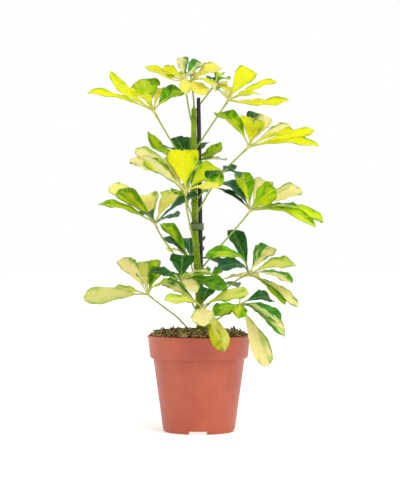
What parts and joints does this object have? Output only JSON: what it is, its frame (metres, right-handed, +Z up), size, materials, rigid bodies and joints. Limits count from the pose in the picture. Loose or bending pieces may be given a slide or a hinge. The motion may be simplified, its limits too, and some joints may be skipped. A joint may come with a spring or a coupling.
{
  "type": "potted umbrella plant",
  "caption": "Umbrella plant with variegated palmate leaves on a staked stem, in a 12 cm terracotta-coloured plastic pot",
  "frame": {"origin": "on the surface that the pot stands on, under the middle of the plant's outer box", "axes": "+Z up, +X to the right and +Y away from the front"},
  "size_m": [0.2775, 0.2321, 0.4343],
  "materials": {
    "pot_plastic": "satin",
    "soil": "matte",
    "stem": "satin",
    "stake_plastic": "satin",
    "tie_plastic": "satin",
    "leaf": "satin"
  },
  "bodies": {
    "root": {"pot": "pot_plastic", "soil": "soil", "stem": "stem", "stake": "stake_plastic", "tie": "tie_plastic", "leaf_top_left": "leaf", "leaf_crown_left": "leaf", "leaf_crown_right": "leaf", "leaf_small_back": "leaf", "leaf_upper_right": "leaf", "leaf_right_second": "leaf", "leaf_front_middle": "leaf", "leaf_behind_upper": "leaf", "leaf_right_small": "leaf", "leaf_right_third": "leaf", "leaf_left_middle": "leaf", "leaf_behind_lower": "leaf", "leaf_front_low": "leaf", "leaf_lower_left": "leaf", "leaf_front_lowest": "leaf", "leaf_right_lower": "leaf", "leaf_right_lowest": "leaf", "leaf_back_left": "leaf", "leaf_back_low": "leaf"}
  },
  "joints": []
}
